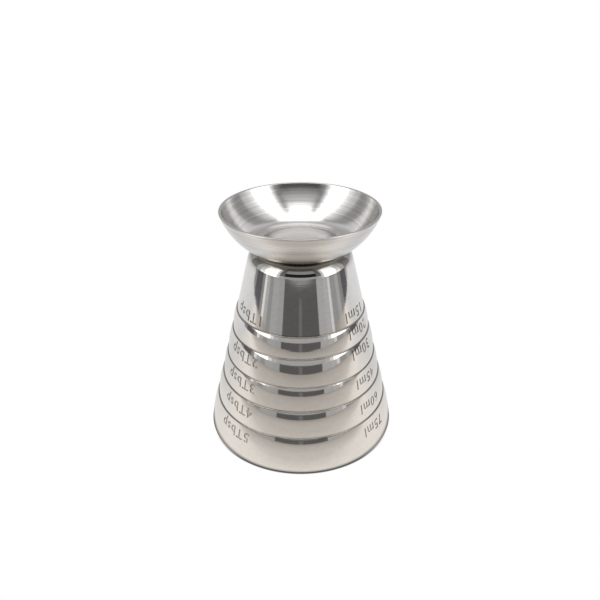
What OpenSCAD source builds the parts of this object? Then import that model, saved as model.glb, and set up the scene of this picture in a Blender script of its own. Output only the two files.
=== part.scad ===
// Stepped bar jigger, standing mouth down. A conical measuring cup with five
// graduated steps carries a shallow flared dish, brazed to its closed end.
// Millimetres. +Z is up and the origin is the centre of the mouth's rim plane.

/* [Sheet] */
// Thickness of the pressed sheet of both vessels
sheet = 0.8; // [0.6:0.1:1]
// Edge radius of both rims
rim_edge_r = 0.2; // [0.1:0.05:0.25]

/* [Measuring cup] */
// Outer radius of the mouth
mouth_r = 31.5; // [31:0.1:33]
// Height of the cup, from the mouth to the closed end
cup_h = 65; // [62:0.5:70]
// Radius of the shoulder round the closed end
shoulder_r = 5.2; // [3:0.1:6]
// Slope of the first band, below the shoulder, from the vertical
first_band_tilt = 13.4; // [11:0.1:15]
// Heights of the steps above the mouth, from the lowest up
step_z = [11.5, 20.2, 27.9, 36.9, 43.8];
// Radii at the foot of the band above each step, in the same order
step_r = [28.6, 26.4, 24.5, 22.3, 20.65];
// Width of the ledge of each step
ledge_w = 0.25; // [0.2:0.05:0.4]
// Slope of the crown just under each ledge, from the vertical
crown_tilt = 22; // [18:0.5:24]
// Reach of the crown down each band, in the same order as the steps
crown_reach = [2.6, 2.3, 1.6, 2.6, 2.1];
// Outward bow of each band's wall below its crown
wall_bow = 0.1; // [0:0.02:0.14]

/* [Foot dish] */
// Outer radius of the dish's rim
dish_rim_r = 24.7; // [24:0.1:25.5]
// Height of the dish
dish_h = 11.8; // [10:0.1:14]
// Radius of the flat bottom
dish_flat_r = 13.2; // [13:0.1:14]
// Outer radius of the bend between the bottom and the wall
dish_bend_r = 7.3; // [5:0.1:8]
// Slope of the wall where it leaves the bend, from the vertical
dish_foot_tilt = 49; // [47:1:51]

/* [Braze] */
// Gap between the two flats, filled with braze metal
braze_t = 0.2; // [0.1:0.05:0.3]
// Outer radius of the braze metal in the wedge round the flats
braze_r = 13.4; // [13:0.1:13.5]

/* [Hidden] */
$fn = 128;
arc_step = 4;              // degrees of bend in one facet of an arc
crease_r = 0.12;           // radius of the crease at the foot of each band
inner_crease_r = 0.35;     // radius of the same bend inside the cup
ledge_r = 0.16;            // radius of the ledge's outer edge
meniscus = 0.35;           // how far the braze metal's edge is drawn in
dish_z = cup_h + braze_t;
steel = "#d4d2cf";
satin_steel = "#c6c3c0";
braze_metal = "#a9783c";

// ---- Outlines with rounded corners ---------------------------------------

function unit(v) = v / norm(v);
function turned(v, a) = [v.x * cos(a) - v.y * sin(a), v.x * sin(a) + v.y * cos(a)];
function slope(a, b) = atan2(b.x - a.x, a.y - b.y);

// Points of the arc about c from c + p, through the signed angle a
function arc(c, p, a) =
    let (n = max(2, ceil(abs(a) / arc_step)))
    [for (i = [0 : n]) c + turned(p, a * i / n)];

// The corner b, between a and c, rounded with an arc of radius rad
function rounded(a, b, c, rad) =
    let (u = unit(a - b), v = unit(c - b), half = acos(u * v) / 2)
    (rad <= 0 || half > 89.9) ? [b] :
    let (centre = b + unit(u + v) * rad / sin(half),
         p = b + u * rad / tan(half) - centre,
         q = b + v * rad / tan(half) - centre)
    arc(centre, p, sign(cross(p, q)) * (180 - 2 * half));

// A path of [point, radius] corners, open at both ends, with its corners rounded
function rounded_path(path) =
    let (last = len(path) - 1)
    [for (i = [0 : last])
        each i == 0 || i == last ? [path[i][0]]
            : rounded(path[i - 1][0], path[i][0], path[i + 1][0], path[i][1])];

// ---- Measuring cup -------------------------------------------------------

steps = len(step_z);

// Foot of each band's outer face; the lowest band ends at the mouth
function foot(k) = k < 0 ? [mouth_r, 0] : [step_r[k], step_z[k]];
// Outer edge of the ledge at the top of the band under step k
function ledge_edge(k) = foot(k) + [ledge_w, 0];
// Where that band's crown meets its wall, before rounding
function crown_foot(k) = ledge_edge(k) + crown_reach[k] * [sin(crown_tilt), -cos(crown_tilt)];
// Half of what the crown's arc leaves of that wall
function half_wall(k) = (norm(foot(k - 1) - crown_foot(k)) - crown_reach[k]) / 2;
// The corner at the middle of that stretch, bowed outward
function belly(k) =
    let (down = unit(foot(k - 1) - crown_foot(k)))
    crown_foot(k) + (crown_reach[k] + half_wall(k)) * down + wall_bow * [-down.y, down.x];
// Slopes of the wall from the crown to the belly and from there to the band's foot
function upper_tilt(k) = slope(crown_foot(k), belly(k));
function lower_tilt(k) = slope(belly(k), foot(k - 1));
// The belly's arc reaches along nearly all of the stretch
function belly_r(k) = half_wall(k) * 0.9 / tan((upper_tilt(k) - lower_tilt(k)) / 2);

// Top corner of the first band, where its wall would meet the closed end
top_corner = [step_r[steps - 1] - (cup_h - step_z[steps - 1]) * tan(first_band_tilt), cup_h];

// A point moved inward by d across a face of slope a, and down by d across a flat
function inset(p, a, d) = p + d * [-1 / cos(a), 0] + d * [tan(a), -1];

// One face of the cup, d inside the outer one, from the closed end to the mouth
function cup_face(d) = rounded_path([
    [[0, cup_h - d], 0],
    [inset(top_corner, first_band_tilt, d), shoulder_r - d],
    for (k = [steps - 1 : -1 : 0])
        let (above = k == steps - 1 ? first_band_tilt : lower_tilt(k + 1))
        each [
            [inset(foot(k), above, d), d == 0 ? crease_r : inner_crease_r],
            [ledge_inset(k, d), max(ledge_r - d, 0.05)],
            [crown_inset(k, d), crown_r(k, d)],
            [halved_inset(belly(k), upper_tilt(k), lower_tilt(k), d), wall_bow == 0 ? 0 : belly_r(k) - d]
        ],
    [[mouth_r - d / cos(lower_tilt(0)), 0], 0]
]);

// Both ends of the crown's line, moved inward
function ledge_inset(k, d) = inset(ledge_edge(k), crown_tilt, d);
function crown_inset(k, d) = halved_inset(crown_foot(k), crown_tilt, upper_tilt(k), d);
// The crown's arc reaches along nearly all of that line, up to the ledge
function crown_r(k, d) =
    0.93 * norm(ledge_inset(k, d) - crown_inset(k, d)) / tan((crown_tilt - upper_tilt(k)) / 2);

// A corner between walls of two slopes, moved inward along the line that halves its angle
function halved_inset(corner, above, below, d) =
    let (half = (above - below) / 2, mid = (above + below) / 2)
    corner - d / cos(half) * [cos(mid), sin(mid)];

module measuring_cup() {
    outer = cup_face(0);
    inner = cup_face(sheet);
    color(steel) rotate_extrude() polygon(concat(
        [for (i = [0 : len(outer) - 2]) outer[i]],
        mouth_lip(),
        [for (i = [len(inner) - 2 : -1 : 0]) inner[i]]
    ));
}

// The mouth's edge: a flat ring with both of its edges rounded
function mouth_lip() =
    let (tilt = lower_tilt(0), across = sheet / cos(tilt), up = [-sin(tilt), cos(tilt)] * 2,
         out = [mouth_r, 0], in = [mouth_r - across, 0])
    concat(rounded(out + up, out, in, rim_edge_r), rounded(out, in, in + up, rim_edge_r));

// ---- Foot dish -----------------------------------------------------------

bend_centre = [dish_flat_r, dish_z + dish_bend_r];
rim_corner = [dish_rim_r, dish_z + dish_h];
wall_foot = bend_centre + dish_bend_r * [cos(dish_foot_tilt), -sin(dish_foot_tilt)];
wall_chord = norm(rim_corner - wall_foot);
// The wall is one arc, tangent to the bend, that ends at the rim
half_turn = dish_foot_tilt - slope([wall_foot.x, -wall_foot.y], [rim_corner.x, -rim_corner.y]);
wall_r = wall_chord / 2 / sin(half_turn);
wall_centre = wall_foot - wall_r * [cos(dish_foot_tilt), -sin(dish_foot_tilt)];

// One face of the dish, d inside the outer one, from the axis to the rim
function dish_face(d) = concat(
    [[0, dish_z + d]],
    arc(bend_centre, [0, d - dish_bend_r], 90 - dish_foot_tilt),
    [for (i = [1 : wall_points(d)]) wall_arc(d)[i]]
);
function wall_arc(d) = arc(wall_centre, (wall_r - d) * [cos(dish_foot_tilt), -sin(dish_foot_tilt)],
                           rim_turn(d));
function wall_points(d) = len(wall_arc(d)) - 2;
// The arc's turn up to the height of the rim
function rim_turn(d) = dish_foot_tilt + asin((rim_corner.y - wall_centre.y) / (wall_r - d));

module foot_dish() {
    outer = dish_face(0);
    inner = dish_face(sheet);
    color(satin_steel) rotate_extrude() polygon(concat(
        outer,
        dish_lip(),
        [for (i = [len(inner) - 1 : -1 : 0]) inner[i]]
    ));
}

// The dish's edge: a flat ring with both of its edges rounded
function dish_lip() =
    let (out = wall_arc(0)[wall_points(0) + 1], in = wall_arc(sheet)[wall_points(sheet) + 1],
         lower = wall_arc(0)[wall_points(0)], below = wall_arc(sheet)[wall_points(sheet)])
    concat(rounded(lower, out, in, rim_edge_r), rounded(out, in, below, rim_edge_r));

// ---- Braze joint ---------------------------------------------------------

// Braze metal between the two flats. It follows the cup's shoulder down into the
// wedge round them, and its free edge is drawn in.
module braze_joint() {
    shoulder = [for (p = cup_face(0)) if (p.x <= braze_r) p];
    low = shoulder[len(shoulder) - 1];
    high = [low.x, dish_z];
    color(braze_metal) rotate_extrude() polygon(concat(
        shoulder,
        [[low.x - meniscus, (low.y + dish_z) / 2], high, [0, dish_z]]
    ));
}

measuring_cup();
braze_joint();
foot_dish();
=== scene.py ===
"""A stepped bar jigger, mouth down on a white table, in a product photographer's tent.

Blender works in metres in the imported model's frame: +Z up, with the origin at the centre of the
mouth's rim. The outlines are worked out in millimetres. A point of an outline is a complex number:
its real part is the radius from the axis and its imaginary part is the height.
"""

import cmath
import math

import bmesh
import bpy
import numpy as np
from mathutils import Matrix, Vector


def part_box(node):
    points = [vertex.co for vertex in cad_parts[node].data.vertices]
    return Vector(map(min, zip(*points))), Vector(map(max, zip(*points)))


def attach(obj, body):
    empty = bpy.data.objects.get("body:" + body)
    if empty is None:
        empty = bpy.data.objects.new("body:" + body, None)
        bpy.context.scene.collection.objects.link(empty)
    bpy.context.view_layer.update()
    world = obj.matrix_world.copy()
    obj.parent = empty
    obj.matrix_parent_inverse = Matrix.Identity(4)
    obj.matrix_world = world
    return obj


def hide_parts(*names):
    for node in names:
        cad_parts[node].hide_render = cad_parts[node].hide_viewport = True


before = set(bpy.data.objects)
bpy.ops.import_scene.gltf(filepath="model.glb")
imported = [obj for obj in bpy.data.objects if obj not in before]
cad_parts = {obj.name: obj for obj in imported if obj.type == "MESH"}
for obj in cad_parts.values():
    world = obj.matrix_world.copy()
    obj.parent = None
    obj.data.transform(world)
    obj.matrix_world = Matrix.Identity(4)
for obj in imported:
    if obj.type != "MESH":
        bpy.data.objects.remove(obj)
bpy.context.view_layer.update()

MM = 0.001


def mm_box(node):
    """A CAD node's lowest and highest corners, in millimetres."""
    return [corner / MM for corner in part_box(node)]


# ---- Sizes, in millimetres and degrees -------------------------------------

CUP_H = mm_box("measuring_cup")[1].z
DISH_Z = mm_box("foot_dish")[0].z
DISH_TOP = mm_box("foot_dish")[1].z
SHEET = 0.8  # thickness of both pressings
RIM_EDGE_R = 0.2  # rounding of both rims

MOUTH_R = 31.5
SHOULDER_R = 5.2  # rounding of the closed end's edge
FIRST_TILT = 13.4  # slope of the band under the closed end
STEP_Z = [11.5, 20.2, 27.9, 36.9, 43.8]  # foot of the band above each step, from the lowest up
STEP_R = [28.6, 26.4, 24.5, 22.3, 20.65]
LEDGE_W = 0.25
CROWN_TILT = 22.0  # slope just under a ledge
CROWN_REACH = [2.6, 2.3, 1.6, 2.6, 2.1]
WALL_BOW = 0.1  # outward bow of each band's wall below its crown
CREASE_R = 0.12
INNER_CREASE_R = 0.35
LEDGE_R, LEAST_LEDGE_R = 0.16, 0.05  # the least is for inside the cup
CROWN_SHARE, BELLY_SHARE = 0.93, 0.9  # how much of its line each arc takes up

DISH_RIM_R = 24.7
DISH_FLAT_R = 13.2
DISH_BEND_R = 7.3
DISH_FOOT_TILT = 49.0
BRAZE_R = 13.4
MENISCUS = 0.35  # how far the braze metal's edge is drawn in

ARC_STEP = 2.5  # degrees of bend in one facet of an arc
EDGE_R, EDGE_STEP = 1.0, 16.0  # the same for an arc under this radius
SPOKES = 256  # facets round the axis
ON_AXIS, NO_LENGTH = 1e-6, 1e-9  # distances that count as none


# ---- Outlines: lists of (point, direction of travel) -----------------------


def tan(degrees):
    return math.tan(math.radians(degrees))


def along(degrees, length=1.0):
    """The vector that points at this angle above the outward direction."""
    return cmath.rect(length, math.radians(degrees))


def sweep(centre, start, heading, bend):
    """An arc about centre that leaves start in the direction heading and turns through bend, in radians."""
    step = EDGE_STEP if abs(start - centre) < EDGE_R else ARC_STEP
    count = max(2, math.ceil(abs(math.degrees(bend)) / step))
    turns = [cmath.rect(1, bend * i / count) for i in range(count + 1)]
    return [(centre + (start - centre) * turn, heading * turn) for turn in turns]


def rounded_corner(before, here, after, radius):
    """The corner at here, cut back to an arc that touches both of its sides."""
    enter = (here - before) / abs(here - before)
    leave = (after - here) / abs(after - here)
    bend = cmath.phase(leave / enter)
    start = here - enter * radius * math.tan(abs(bend) / 2)
    centre = start + 1j * enter * math.copysign(radius, bend)
    return sweep(centre, start, enter, bend)


def rounded_path(corners):
    """The path through (corner, radius) pairs, open at both ends."""
    spots = [spot for spot, _ in corners]
    path = [(spots[0], (spots[1] - spots[0]) / abs(spots[1] - spots[0]))]
    for before, (here, radius), after in zip(spots, corners[1:-1], spots[2:]):
        path += rounded_corner(before, here, after, radius)
    path.append((spots[-1], (spots[-1] - spots[-2]) / abs(spots[-1] - spots[-2])))
    return path


# ---- The measuring cup's outline -------------------------------------------


def foot(k):
    """Foot of the outer face of the band above step k; band 0 is the lowest and ends at the mouth."""
    return complex(MOUTH_R, 0) if k < 0 else complex(STEP_R[k], STEP_Z[k])


def ledge_edge(k):
    return foot(k) + LEDGE_W


def crown_foot(k):
    """Where the crown under step k meets the wall of its band."""
    return ledge_edge(k) + along(CROWN_TILT - 90, CROWN_REACH[k])


def half_wall(k):
    """Half of what the crown's arc leaves of that wall."""
    return (abs(foot(k - 1) - crown_foot(k)) - CROWN_REACH[k]) / 2


def belly(k):
    """The corner at the middle of that stretch, bowed outward."""
    wall = foot(k - 1) - crown_foot(k)
    down = wall / abs(wall)
    return crown_foot(k) + (CROWN_REACH[k] + half_wall(k)) * down + WALL_BOW * 1j * down


def tilt_between(upper, lower):
    """Slope of the face between two corners, from the vertical."""
    return 90 + math.degrees(cmath.phase(lower - upper))


def upper_tilt(k):
    return tilt_between(crown_foot(k), belly(k))


def lower_tilt(k):
    return tilt_between(belly(k), foot(k - 1))


def halved_inset(corner, above, below, depth):
    """A corner between faces of two slopes, moved inward along the line that halves its angle."""
    return corner - along((above + below) / 2, depth / math.cos(math.radians(above - below) / 2))


def inset(spot, tilt, depth):
    """The corner between a flat and a face of this tilt, moved in under both of them."""
    return spot + depth * complex(tan(tilt) - 1 / math.cos(math.radians(tilt)), -1)


def ledge_inset(k, depth):
    return inset(ledge_edge(k), CROWN_TILT, depth)


def crown_inset(k, depth):
    return halved_inset(crown_foot(k), CROWN_TILT, upper_tilt(k), depth)


def crown_radius(k, depth):
    """The crown's arc, which ends just short of the ledge."""
    reach = abs(ledge_inset(k, depth) - crown_inset(k, depth))
    return CROWN_SHARE * reach / tan((CROWN_TILT - upper_tilt(k)) / 2)


def belly_radius(k):
    return BELLY_SHARE * half_wall(k) / tan((upper_tilt(k) - lower_tilt(k)) / 2)


def cup_corners(depth):
    """(corner, radius) pairs of the face that lies depth inside the cup's outer face, down to the lip."""
    top = len(STEP_Z) - 1
    closed_end = complex(STEP_R[top] - (CUP_H - STEP_Z[top]) * tan(FIRST_TILT), CUP_H)
    corners = [
        (complex(0, CUP_H - depth), 0),
        (inset(closed_end, FIRST_TILT, depth), SHOULDER_R - depth),
    ]
    for k in reversed(range(len(STEP_Z))):
        above = FIRST_TILT if k == top else lower_tilt(k + 1)
        corners += [
            (inset(foot(k), above, depth), INNER_CREASE_R if depth else CREASE_R),
            (ledge_inset(k, depth), max(LEDGE_R - depth, LEAST_LEDGE_R)),
            (crown_inset(k, depth), crown_radius(k, depth)),
            (halved_inset(belly(k), upper_tilt(k), lower_tilt(k), depth), belly_radius(k) - depth),
        ]
    return corners + [(complex(MOUTH_R - depth / math.cos(math.radians(lower_tilt(0))), 0), RIM_EDGE_R)]


def cup_outline():
    """The cup's whole section: out from the axis, down the outer face, round the lip and back up inside."""
    return rounded_path(cup_corners(0) + cup_corners(SHEET)[::-1])


# ---- The foot dish's outline -----------------------------------------------


def dish_face(depth):
    """The face that lies depth inside the dish's outer face, from the axis to its end at the rim."""
    bend_centre = complex(DISH_FLAT_R, DISH_Z + DISH_BEND_R)
    rim = complex(DISH_RIM_R, DISH_TOP)
    wall_foot = bend_centre + along(-DISH_FOOT_TILT, DISH_BEND_R)
    half_turn = math.radians(DISH_FOOT_TILT - 90) + cmath.phase(rim - wall_foot)
    wall_r = abs(rim - wall_foot) / 2 / math.sin(half_turn)
    wall_centre = wall_foot - along(-DISH_FOOT_TILT, wall_r)
    turn = math.radians(DISH_FOOT_TILT) + math.asin((rim.imag - wall_centre.imag) / (wall_r - depth))
    flat_end = complex(DISH_FLAT_R, DISH_Z + depth)
    wall_start = wall_centre + along(-DISH_FOOT_TILT, wall_r - depth)
    return (
        [(complex(0, DISH_Z + depth), 1)]
        + sweep(bend_centre, flat_end, 1, math.radians(90 - DISH_FOOT_TILT))[:-1]
        + sweep(wall_centre, wall_start, along(90 - DISH_FOOT_TILT), turn)
    )


def dish_outline():
    """The dish's whole section: out along its bottom, up its wall, over the rim and back down inside."""
    outer, inner = dish_face(0), dish_face(SHEET)
    (out, up_out), (back, up_back) = outer[-1], inner[-1]
    lip = rounded_corner(out - up_out, out, back, RIM_EDGE_R)
    lip += rounded_corner(out, back, back - up_back, RIM_EDGE_R)
    return outer[:-1] + lip + [(spot, -heading) for spot, heading in inner[-2::-1]]


# ---- Meshes ----------------------------------------------------------------


def outward(outline):
    """1j or -1j: what turns the direction of travel into the outward normal."""
    spots = [spot for spot, _ in outline]
    area = sum((a.conjugate() * b).imag for a, b in zip(spots, spots[1:] + spots[:1]))
    return -1j if area > 0 else 1j


def revolve(name, outline, spokes=SPOKES):
    """The closed outline turned round the axis, with the exact normals of its curves."""
    side = outward(outline)
    angles = np.arange(spokes) * 2 * math.pi / spokes
    ring = np.stack([np.sin(angles), -np.cos(angles)], axis=1)
    points, normals, rings = [], [], []
    for spot, heading in outline:
        normal = heading * side
        rings.append(len(points))
        if spot.real < ON_AXIS:
            points.append((0, 0, spot.imag))
            normals.append((0, 0, math.copysign(1, normal.imag)))
        else:
            points += [(x * spot.real, y * spot.real, spot.imag) for x, y in ring]
            normals += [(x * normal.real, y * normal.real, normal.imag) for x, y in ring]
    faces = []
    for i, first in enumerate(rings):
        second = rings[(i + 1) % len(rings)]
        at_axis = outline[i][0].real < ON_AXIS, outline[(i + 1) % len(rings)][0].real < ON_AXIS
        if all(at_axis):
            continue
        for s in range(spokes):
            t = (s + 1) % spokes
            if at_axis[0]:
                face = (first, second + s, second + t)
            elif at_axis[1]:
                face = (first + s, second, first + t)
            else:
                face = (first + s, second + s, second + t, first + t)
            faces.append(face if side == 1j else face[::-1])
    mesh = bpy.data.meshes.new(name)
    mesh.from_pydata((np.array(points) * MM).tolist(), [], faces)
    mesh.validate()
    mesh.update()
    mesh.shade_smooth()
    mesh.normals_split_custom_set_from_vertices(normals)
    piece = bpy.data.objects.new(name, mesh)
    bpy.context.scene.collection.objects.link(piece)
    return piece


# ---- Graduation marks ------------------------------------------------------

# Each column of marks: (text, height of its baseline), read with the cup's mouth up
SPOON_MARKS = [("1Tbsp", 48.1), ("2Tbsp", 35.1), ("3Tbsp", 26.5), ("4Tbsp", 18.1), ("5Tbsp", 9.7)]
MILLILITRE_MARKS = [
    ("15ml", 48.1), ("20ml", 42.8), ("30ml", 36.1),
    ("45ml", 26.1), ("60ml", 17.5), ("75ml", 9.3),
]
SPOON_START = -34.0  # degrees round from the front where each spoon mark starts
MILLILITRE_END = 43.5  # and where each millilitre mark ends
LETTER_SIZE = 4.8
LETTER_SPACING = 1.15
LETTER_CURVE_STEPS = 3
STAMP_DEPTH = 0.16
STAMP_BEVEL = 0.06  # slope of the recess's sides
SLICE = 0.8  # height of one facet of a letter on the curved wall
WELD = 0.001  # letter points nearer than this are one
SKIN_GAP = 0.02  # how near the outline an unstamped face lies
SKIN_MATCH = 0.97  # and how well it is turned the outline's way, as a cosine
RECESS = 2  # material index of the stamped faces, after 0 outside and 1 inside


def stamp_letters(text):
    """The text as closed solids, in millimetres: across, up, and out from the surface at 0."""
    letters = bpy.data.curves.new("letters", "FONT")
    letters.body = text
    letters.size = LETTER_SIZE
    letters.space_character = LETTER_SPACING
    letters.resolution_u = LETTER_CURVE_STEPS
    letters.extrude = STAMP_DEPTH - STAMP_BEVEL
    letters.bevel_depth = STAMP_BEVEL
    letters.bevel_resolution = 0
    holder = bpy.data.objects.new("letters", letters)
    bpy.context.scene.collection.objects.link(holder)
    bpy.context.view_layer.update()
    mesh = bpy.data.meshes.new_from_object(holder.evaluated_get(bpy.context.evaluated_depsgraph_get()))
    bpy.data.objects.remove(holder)
    bpy.data.curves.remove(letters)
    solid = bmesh.new()
    solid.from_mesh(mesh)
    bpy.data.meshes.remove(mesh)
    bmesh.ops.remove_doubles(solid, verts=solid.verts, dist=WELD)
    top = max(v.co.y for v in solid.verts)
    cut = min(v.co.y for v in solid.verts) + SLICE
    while cut < top:
        everything = solid.verts[:] + solid.edges[:] + solid.faces[:]
        bmesh.ops.bisect_plane(solid, geom=everything, dist=WELD, plane_co=(0, cut, 0), plane_no=(0, 1, 0))
        cut += SLICE
    bmesh.ops.recalc_face_normals(solid, faces=solid.faces)
    return solid


def outer_radius(height):
    """The cup's outer radius at a height, or at an array of heights."""
    outer = [spot for spot, _ in rounded_path(cup_corners(0))][::-1]
    return np.interp(height, [spot.imag for spot in outer], [spot.real for spot in outer])


def wrap(solid, baseline, start=None, end=None):
    """Bend flat letters round the cup, their tops towards its mouth, from one angle or up to another."""
    mid_height = LETTER_SIZE / 3
    mean_r = float(outer_radius(baseline - mid_height))
    if start is None:
        start = end + math.degrees(max(v.co.x for v in solid.verts) / mean_r)
    for v in solid.verts:
        across, up, out = v.co
        height = baseline - up * math.cos(math.radians(FIRST_TILT))
        radius = float(outer_radius(height)) + out
        angle = math.radians(start) - across / mean_r
        v.co = (radius * math.sin(angle) * MM, -radius * math.cos(angle) * MM, height * MM)


def marks_cutter():
    """Every mark's letters in one object."""
    cutter = bmesh.new()
    columns = [(text, z, {"start": SPOON_START}) for text, z in SPOON_MARKS]
    columns += [(text, z, {"end": MILLILITRE_END}) for text, z in MILLILITRE_MARKS]
    for text, baseline, place in columns:
        solid = stamp_letters(text)
        wrap(solid, baseline, **place)
        mesh = bpy.data.meshes.new("mark")
        solid.to_mesh(mesh)
        solid.free()
        cutter.from_mesh(mesh)
        bpy.data.meshes.remove(mesh)
    mesh = bpy.data.meshes.new("marks")
    cutter.to_mesh(mesh)
    cutter.free()
    marks = bpy.data.objects.new("marks", mesh)
    bpy.context.scene.collection.objects.link(marks)
    return marks


def stamp(piece):
    """Sink the marks into the piece."""
    marks = marks_cutter()
    cut = piece.modifiers.new("stamp", "BOOLEAN")
    cut.operation = "DIFFERENCE"
    cut.solver = "MANIFOLD"
    cut.object = marks
    bpy.context.view_layer.update()
    plain = piece.data
    piece.data = bpy.data.meshes.new_from_object(piece.evaluated_get(bpy.context.evaluated_depsgraph_get()))
    piece.data.name = plain.name
    piece.data.materials.clear()
    piece.modifiers.clear()
    bpy.data.objects.remove(marks)
    bpy.data.meshes.remove(plain)


def nearest_on(outline, radii, heights):
    """For each point of a section: how far off the outline is, its normal there, and on which leg."""
    spots = np.array([spot for spot, _ in outline])
    normals = np.array([heading for _, heading in outline]) * outward(outline)
    points = radii + 1j * heights
    best = np.full(len(points), np.inf)
    normal = np.zeros(len(points), complex)
    place = np.zeros(len(points), int)
    for i in range(len(spots) - 1):
        leg = spots[i + 1] - spots[i]
        if abs(leg) < NO_LENGTH:
            continue
        share = np.clip(((points - spots[i]) / leg).real, 0, 1)
        distance = np.abs(points - spots[i] - share * leg)
        closer = distance < best
        best[closer] = distance[closer]
        normal[closer] = (normals[i] * (1 - share) + normals[i + 1] * share)[closer]
        place[closer] = i
    return best, normal / np.abs(normal), place


def read(collection, attribute, kind=float, width=1):
    """One attribute of every item of a mesh's collection, as an array."""
    values = np.zeros(len(collection) * width, kind)
    collection.foreach_get(attribute, values)
    return values.reshape(-1, width) if width > 1 else values


def finish_stamped(piece, outline):
    """Exact normals on the turned faces, flat ones in the recesses, and a material index for each zone."""
    mesh = piece.data
    spots = read(mesh.vertices, "co", width=3) / MM
    radii = np.hypot(spots[:, 0], spots[:, 1])
    distance, section_normal, place = nearest_on(outline, radii, spots[:, 2])
    round_it = spots[:, :2] / np.maximum(radii, ON_AXIS)[:, None]
    turned = np.column_stack([round_it * section_normal.real[:, None], section_normal.imag])
    lip = min(range(len(outline)), key=lambda i: (round(outline[i][0].imag, 3), outline[i][0].real))
    corner = read(mesh.loops, "vertex_index", int)
    start, count = read(mesh.polygons, "loop_start", int), read(mesh.polygons, "loop_total", int)
    flat = read(mesh.polygons, "normal", width=3)
    mean = np.add.reduceat(turned[corner], start) / count[:, None]
    on_skin = np.logical_and.reduceat((distance < SKIN_GAP)[corner], start)
    smooth = on_skin & ((mean * flat).sum(axis=1) > SKIN_MATCH)
    within = np.maximum.reduceat(place[corner], start) > lip
    mesh.polygons.foreach_set("material_index", np.where(smooth, within, RECESS).astype(np.int32))
    mesh.shade_smooth()
    smooth_corner = np.repeat(smooth, count)[:, None]
    mesh.normals_split_custom_set(np.where(smooth_corner, turned[corner], np.repeat(flat, count, axis=0)))


# ---- Materials -------------------------------------------------------------


MIX_A, MIX_B, MIX_RESULT = 6, 7, 2  # the Mix node's sockets for colours


class Nodes:
    """A node material and short ways to add nodes to it."""

    def __init__(self, name):
        self.material = bpy.data.materials.new(name)
        self.material.use_nodes = True
        self.tree = self.material.node_tree

    def set(self, node, inputs):
        for name, value in inputs.items():
            if isinstance(value, bpy.types.NodeSocket):
                self.tree.links.new(value, node.inputs[name])
            else:
                node.inputs[name].default_value = value
        return node

    def add(self, kind, inputs=None, **settings):
        node = self.tree.nodes.new(kind)
        for name, value in settings.items():
            setattr(node, name, value)
        return self.set(node, inputs or {})

    def math(self, operation, first, second):
        return self.add("ShaderNodeMath", {0: first, 1: second}, operation=operation).outputs[0]

    def length(self, vector):
        return self.add("ShaderNodeVectorMath", {0: vector}, operation="LENGTH").outputs["Value"]

    def spread(self, value, low, high, start=0.0, end=1.0):
        """A value between start and end, moved to lie between low and high."""
        inputs = {"Value": value, "From Min": start, "From Max": end, "To Min": low, "To Max": high}
        return self.add("ShaderNodeMapRange", inputs).outputs[0]

    def ramp(self, value, stops):
        """The colour at a value from 0 to 1, between stops of (value, (r, g, b)) in rising order."""
        node = self.add("ShaderNodeValToRGB", {0: value})
        elements = node.color_ramp.elements
        for _ in stops[2:]:
            elements.new(0.5)
        for element, (position, colour) in zip(elements, stops):
            element.position = position
            element.color = (*colour, 1)
        return node.outputs[0]


class Look(Nodes):
    """A Principled material for the object."""

    def __init__(self, name, colour, metallic, roughness):
        super().__init__(name)
        self.shader = self.tree.nodes["Principled BSDF"]
        self.set(self.shader, {"Base Color": (*colour, 1), "Metallic": metallic, "Roughness": roughness})
        self.place = self.add("ShaderNodeTexCoord").outputs["Object"]
        self.height = self.add("ShaderNodeSeparateXYZ", {0: self.place}).outputs["Z"]
        self.from_axis = self.length(self.scaled(1, 1, 0))

    def scaled(self, x, y, z, vector=None):
        inputs = {0: vector or self.place, 1: (x, y, z)}
        return self.add("ShaderNodeVectorMath", inputs, operation="MULTIPLY").outputs[0]

    def noise(self, vector, detail=2.0, roughness=0.5):
        inputs = {"Vector": vector, "Scale": 1.0, "Detail": detail, "Roughness": roughness}
        return self.add("ShaderNodeTexNoise", inputs).outputs["Fac"]

    def section(self):
        """(distance from the axis, 0, height): what is drawn with it is the same all round."""
        return self.add("ShaderNodeCombineXYZ", {"X": self.from_axis, "Z": self.height}).outputs[0]

    def stripes(self, levels, half_width, fade):
        """1 within half_width of each level (in mm, from the lowest up), falling to 0 at fade from it."""
        edges = (-fade, 0), (-half_width, 1), (half_width, 1), (fade, 0)
        stops = [((level + side) / CUP_H, (tone, tone, tone)) for level in levels for side, tone in edges]
        return self.ramp(self.spread(self.height, 0, 1, 0, CUP_H * MM), stops)

    def mix(self, factor, first, second, blend="MIX"):
        """Blend two colours, each a socket or (r, g, b)."""
        first, second = (c if isinstance(c, bpy.types.NodeSocket) else (*c, 1) for c in (first, second))
        inputs = {0: factor, MIX_A: first, MIX_B: second}
        return self.add("ShaderNodeMix", inputs, data_type="RGBA", blend_type=blend).outputs[MIX_RESULT]

    def bump(self, height, distance, below=None):
        inputs = {"Height": height, "Strength": 1.0, "Distance": distance}
        if below:
            inputs["Normal"] = below
        return self.add("ShaderNodeBump", inputs).outputs["Normal"]

    def finish(self, **inputs):
        self.set(self.shader, {name.replace("_", " ").title(): value for name, value in inputs.items()})
        return self.material


# Noise is scaled in cells per metre, and bumps are in metres.
STEEL_DARK, STEEL_LIGHT = (0.79, 0.77, 0.745), (0.83, 0.81, 0.785)
# The zones of the closed end, in mm: what the heat browned and what the dish shades, each out to
# where it starts to fade and where it ends, and the height at which both come in
TINT_R, TINT = (12.8, 14.8), (0.22, 0.13, 0.06)
SHADE_R, SHADE = (15.0, 17.2), (0.30, 0.29, 0.27)
CLOSED_END_Z = (60, 62)
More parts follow.
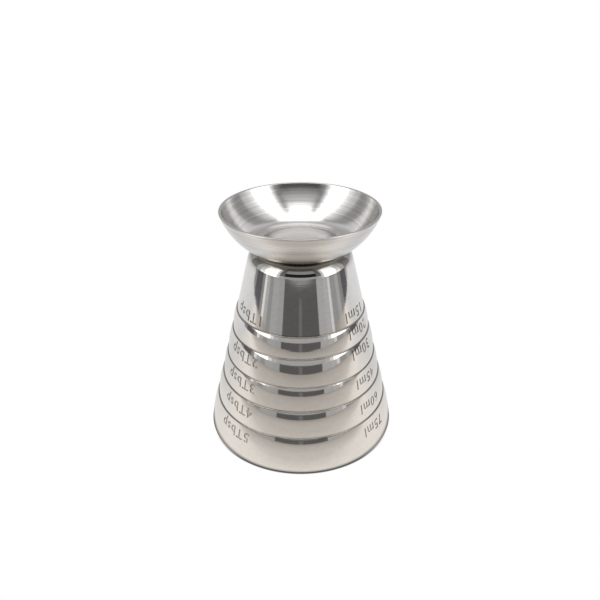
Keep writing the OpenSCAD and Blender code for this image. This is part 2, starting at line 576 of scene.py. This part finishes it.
# Painted shade in the creases: how far a corner darkens, in metres, and the painted dark line of shade along
# each ledge, in mm
CORNER_REACH, CREASE_SHADE = 0.0007, (0.28, 0.24, 0.19)
LEDGE_LINE, LEDGE_FADE, LEDGE_SHADE = 0.10, 0.22, (0.26, 0.23, 0.19)


def polished_look(name, roughness, dark=1.0):
    """Mirror-polished sheet: slightly wavy, with faint marks of the spinning, a heat tint at the joint, and
    painted shade under the dish, in the corners and along each ledge.
    """
    look = Look(name, (0.82, 0.80, 0.775), 1.0, roughness)
    waves = look.bump(look.noise(look.scaled(240, 240, 420)), 0.000003)
    rings = look.bump(look.noise(look.scaled(90, 90, 1700)), 0.0000015, waves)
    cloud = look.noise(look.scaled(500, 500, 900), detail=4.0)
    # dark below 1 darkens both tones, for painted shade in the stamped recesses
    tones = [[part * dark for part in tone] for tone in (STEEL_DARK, STEEL_LIGHT)]
    colour = look.mix(look.spread(cloud, 0, 1, 0.35, 0.65), *tones)
    at_top = look.spread(look.height, 0, 1, *(z * MM for z in CLOSED_END_Z))
    # painted shade under the dish near the axis, then the heat tint at the joint
    for radii, tone in ((SHADE_R, SHADE), (TINT_R, TINT)):
        near = look.spread(look.from_axis, 1, 0, *(r * MM for r in radii))
        colour = look.mix(look.math("MULTIPLY", near, at_top), colour, tone)
    # painted shade: the colour darkens in the corners that ambient occlusion finds
    openness = look.add("ShaderNodeAmbientOcclusion", {"Distance": CORNER_REACH}, samples=8).outputs["AO"]
    colour = look.mix(look.spread(openness, 1, 0, 0.55, 0.95), colour, CREASE_SHADE)
    # painted shade: a dark line along each ledge, at the height of each step
    colour = look.mix(look.stripes(STEP_Z, LEDGE_LINE, LEDGE_FADE), colour, LEDGE_SHADE)
    rough = look.spread(cloud, roughness * 0.7, roughness * 1.4)
    return look.finish(base_color=colour, roughness=rough, normal=rings)


DULL, DULL_EDGE = 0.55, 0.2  # share of the light that the dull face keeps, and its soft edge in mm


def turned_look(name, colour, roughness, dull_r=0.0):
    """Satin steel with fine lines round the axis, which draw each highlight out across them.

    Within dull_r of the axis it keeps the duller face of the sheet.
    """
    look = Look(name, colour, 1.0, roughness)
    fine = look.noise(look.scaled(3200, 3200, 3200, look.section()), detail=3.0, roughness=0.7)
    broad = look.noise(look.scaled(650, 650, 650, look.section()))
    streaks = look.bump(fine, 0.00001, look.bump(broad, 0.00001))
    dull = look.spread(look.from_axis, DULL, 1, (dull_r - DULL_EDGE) * MM, (dull_r + DULL_EDGE) * MM)
    tone = look.math("MULTIPLY", look.spread(fine, 0.74, 1.1, 0.3, 0.7), dull)
    grey = look.add("ShaderNodeCombineColor", {0: tone, 1: tone, 2: tone}).outputs[0]
    tangent = look.add("ShaderNodeTangent", direction_type="RADIAL", axis="Z").outputs[0]
    look.set(look.shader, {"Anisotropic": 0.6, "Anisotropic Rotation": 0.25})
    rough = look.spread(fine, roughness * 0.85, roughness * 1.15)
    lined = look.mix(1.0, colour, grey, "MULTIPLY")
    return look.finish(base_color=lined, roughness=rough, normal=streaks, tangent=tangent)


def braze_look():
    """Dull brass-coloured filler, darkened by the torch in patches."""
    look = Look("braze_metal", (0.42, 0.28, 0.14), 1.0, 0.4)
    patches = look.noise(look.scaled(900, 900, 900), detail=4.0)
    colour = look.mix(look.spread(patches, 0, 1, 0.35, 0.6), (0.10, 0.065, 0.035), (0.45, 0.29, 0.13))
    return look.finish(base_color=colour, normal=look.bump(patches, 0.00005))


# ---- Pieces ----------------------------------------------------------------


def add_piece(piece, node, slot, *materials):
    for material in materials:
        piece.data.materials.append(material)
    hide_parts(node)
    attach(piece, "root")
    return piece


def bead_outline():
    """The braze metal's section: along the cup's flat and shoulder, round its drawn-in edge and back."""
    under = [(spot, heading) for spot, heading in rounded_path(cup_corners(0)) if spot.real <= BRAZE_R][:-1]
    low = under[-1][0]
    high = complex(low.real, DISH_Z)
    middle = (low + high) / 2 - MENISCUS
    return under + [(low, 1j - 0.5), (middle, 1j), (high, 1j + 0.5), (high, -1), (complex(0, DISH_Z), -1)]


outline = cup_outline()
cup = revolve("cup_shell", outline)
stamp(cup)
polished = polished_look("polished_steel", 0.06)
finish_stamped(cup, outline)
inside = turned_look("turned_steel", (0.78, 0.765, 0.745), 0.22)
# the recesses' tones are darkened as painted shade
recess = polished_look("stamped_recess", 0.14, dark=0.65)
add_piece(cup, "measuring_cup", "polished_steel", polished, inside, recess)
satin = turned_look("satin_steel", (0.80, 0.785, 0.77), 0.2, DISH_FLAT_R - SHEET)
add_piece(revolve("dish_shell", dish_outline()), "foot_dish", "satin_steel", satin)
add_piece(revolve("braze_bead", bead_outline()), "braze_joint", "braze_metal", braze_look())

# ---- Stage: table, tent and panels -----------------------------------------

TENT_R = 1.6
CENTRE_Z = 0.035  # height that the panels' elevations are counted from
PANEL_COLUMNS, PANEL_ROWS = 25, 13


def stage_mesh(name, points, faces, material):
    mesh = bpy.data.meshes.new(name)
    mesh.from_pydata(points, [], faces)
    mesh.materials.append(material)
    piece = bpy.data.objects.new(name, mesh)
    bpy.context.scene.collection.objects.link(piece)
    return piece


class Glow(Nodes):
    """A material that only gives light."""

    def __init__(self, name, colour=(1, 1, 1), strength=1.0):
        super().__init__(name)
        self.tree.nodes.clear()
        self.light = self.add("ShaderNodeEmission", {"Color": (*colour, 1), "Strength": strength})
        self.out = self.add("ShaderNodeOutputMaterial", {"Surface": self.light.outputs[0]})


def panel(name, azimuths, elevations, radius, strength, colour=(1, 1, 1)):
    """A curved panel that faces the object. Azimuth 0 is in front, on -Y, and 90 is on +X."""
    across = np.radians(np.linspace(*azimuths, PANEL_COLUMNS))
    up = np.radians(np.linspace(*elevations, PANEL_ROWS))
    points = []
    for e in up:
        out, rise = radius * math.cos(e), radius * math.sin(e)
        points += [(out * math.sin(a), -out * math.cos(a), CENTRE_Z + rise) for a in across]
    corners = [j * PANEL_COLUMNS + i for j in range(PANEL_ROWS - 1) for i in range(PANEL_COLUMNS - 1)]
    faces = [(c, c + 1, c + 1 + PANEL_COLUMNS, c + PANEL_COLUMNS) for c in corners]
    piece = stage_mesh(name, points, faces, Glow(name, colour, strength).material)
    piece.visible_camera = False
    return piece


def curtain(name, side, elevations, radius, start, folds):
    """Panels side by side round one side from start, each (azimuth where it ends, strength[, colour])."""
    for end, strength, *colour in folds:
        panel(name, (side * start, side * end), elevations, radius, strength, *colour)
        start = end


PURPLE = (0.93, 0.9, 1.0)


def tent():
    panel("tent", (-180, 180), (-90, 90), TENT_R, 0.55, (1, 0.99, 0.97))
    panel("overhead", (-180, 180), (57, 90), 1.4, 1.9)
    panel("back_light", (150, 210), (34, 60), 1.25, 1.3)
    # the room seen past the table's edge, up to the height of the table
    panel("room_floor", (-31, 31), (-40, 0.8), 1.2, 0.11)
    panel("door_slit", (-3, 2), (-30, -1), 1.15, 0.17)
    low = (-40, 1)
    curtain("low_left", -1, low, 1.2, 31, [
        (41, 0.38), (54, 0.41), (62, 0.32), (69, 0.46), (74, 0.82), (80, 0.28),
        (97, 0.13, PURPLE), (104, 0.3), (125, 0.7), (180, 0.75),
    ])
    curtain("low_right", 1, low, 1.2, 31, [
        (45, 0.43), (54, 0.47), (59, 0.7), (71, 0.33), (79, 0.42), (87, 0.27),
        (103, 0.13, PURPLE), (109, 0.4), (125, 0.7), (180, 0.75),
    ])
    # what stands above it: the light strip, the dark camera side, the softboxes and the tent's back
    panel("camera_side", (-33, 33), (14, 34), 1.1, 0.02)
    panel("above_camera", (-33, 33), (34, 50), 1.1, 0.45)
    panel("canopy_edge", (-33, 33), (50, 57), 1.1, 0.6)
    for side in (-1, 1):
        curtain("strip", side, (0.8, 14), 1.1, 0, [
            (36, 0.42), (44, 0.5), (50, 0.8), (78, 2.2), (90, 1.2),
            (103, 0.6), (127, 0.32), (180, 0.6),
        ])
        curtain("high", side, (14, 68), 1.15, 33, [
            (44, 0.2), (50, 0.9), (80, 2.2), (90, 1.0), (103, 0.7),
            (127, 0.3), (150, 0.72), (180, 0.45),
        ])


TABLE_FRONT, TABLE_SIDE, TABLE_BACK, TABLE_Z = 0.15, 0.29, 0.9, -0.0002
# metres in front of the axis, and how bright and warm the steel sees the table there
TABLE_SHADING = [
    (-0.10, (0.80, 0.80, 0.81)), (-0.03, (0.72, 0.72, 0.72)),
    (0.0, (0.83, 0.81, 0.79)), (0.02, (0.92, 0.88, 0.84)), (0.031, (0.87, 0.83, 0.78)),
    (0.043, (0.66, 0.62, 0.58)), (0.06, (0.56, 0.53, 0.49)), (0.09, (0.50, 0.47, 0.44)),
    (0.12, (0.42, 0.39, 0.36)), (0.15, (0.35, 0.33, 0.30)),
]
CONTACT, CONTACT_REACH = 0.02, 2.0  # the table's light at the cup's rim, and how far it fades in, in mm
UNDER_CUP, UNDER_FADE = 0.6, (-6, -1)  # the light inside the mouth, and where it ends, in mm from the rim
RIM_SHADOW = (0.1, 0.45)  # a painted contact shadow: a dark line along the rim, in mm outside it
LINE_AHEAD, LINE_DARK = (-0.012, -0.025), 0.9  # where it comes in, in front of the axis, and how dark it is


def table():
    """A lit table: white to the camera but for a painted contact shadow along the rim, nothing from below,
    and shaded where the steel reflects it, with painted contact shade at the rim.
    """
    glow = Glow("table_glow")
    place = glow.add("ShaderNodeNewGeometry").outputs
    y = glow.add("ShaderNodeSeparateXYZ", {0: place["Position"]}).outputs["Y"]
    radius = glow.length(place["Position"])

    def by_rim(low, high, distances):
        """From low to high between two distances from the rim, in mm."""
        return glow.spread(radius, low, high, *((MOUTH_R + distance) * MM for distance in distances))

    first, last = TABLE_SHADING[0][0], TABLE_SHADING[-1][0]
    stops = [((ahead - first) / (last - first), colour) for ahead, colour in TABLE_SHADING]
    shading = glow.ramp(glow.spread(y, 0, 1, -first, -last), stops)
    # painted contact shade: the table the steel reflects darkens towards the rim
    strength = glow.math("ADD", by_rim(CONTACT, 1, (0, CONTACT_REACH)), by_rim(UNDER_CUP, 0, UNDER_FADE))
    glow.set(glow.light, {"Color": shading, "Strength": strength})
    # painted contact shadow: a dark line along the rim in front, seen by the camera
    line = glow.math("MULTIPLY", by_rim(1, 0, RIM_SHADOW), glow.spread(y, 0, LINE_DARK, *LINE_AHEAD))
    white = glow.add("ShaderNodeEmission", {"Strength": glow.math("SUBTRACT", 1.0, line)}).outputs[0]
    clear = glow.add("ShaderNodeBsdfTransparent").outputs[0]
    seen = glow.add("ShaderNodeMixShader", {0: place["Backfacing"], 1: white, 2: clear}).outputs[0]
    to_camera = glow.add("ShaderNodeLightPath").outputs["Is Camera Ray"]
    either = glow.add("ShaderNodeMixShader", {0: to_camera, 1: glow.light.outputs[0], 2: seen}).outputs[0]
    glow.set(glow.out, {"Surface": either})
    corners = (-1, -TABLE_FRONT), (1, -TABLE_FRONT), (1, TABLE_BACK), (-1, TABLE_BACK)
    points = [(side * TABLE_SIDE, depth, TABLE_Z) for side, depth in corners]
    stage_mesh("table", points, [(0, 1, 2, 3)], glow.material)


tent()
table()

world = bpy.data.worlds.new("white")
world.use_nodes = True
world.node_tree.nodes["Background"].inputs["Color"].default_value = (1, 1, 1, 1)
world.node_tree.nodes["Background"].inputs["Strength"].default_value = 1.0
bpy.context.scene.world = world
bpy.context.scene.view_settings.view_transform = "Standard"

# ---- Camera ----------------------------------------------------------------

CAMERA_BACK, CAMERA_UP = 0.1773, 0.1427
CAMERA_PITCH, CAMERA_ROLL = 28.8, 0.3
SENSOR, LENS, SHIFT_X = 36.0, 37.2, -0.001
CLIP_START = 0.01

camera_data = bpy.data.cameras.new("camera")
camera_data.sensor_width = SENSOR
camera_data.lens = LENS
camera_data.clip_start = CLIP_START
camera_data.shift_x = SHIFT_X
camera = bpy.data.objects.new("camera", camera_data)
camera.location = (0, -CAMERA_BACK, CAMERA_UP)
pitch = Matrix.Rotation(math.radians(90 - CAMERA_PITCH), 3, "X")
roll = Matrix.Rotation(math.radians(-CAMERA_ROLL), 3, "Z")
camera.rotation_euler = (pitch @ roll).to_euler()
bpy.context.scene.collection.objects.link(camera)
bpy.context.scene.camera = camera
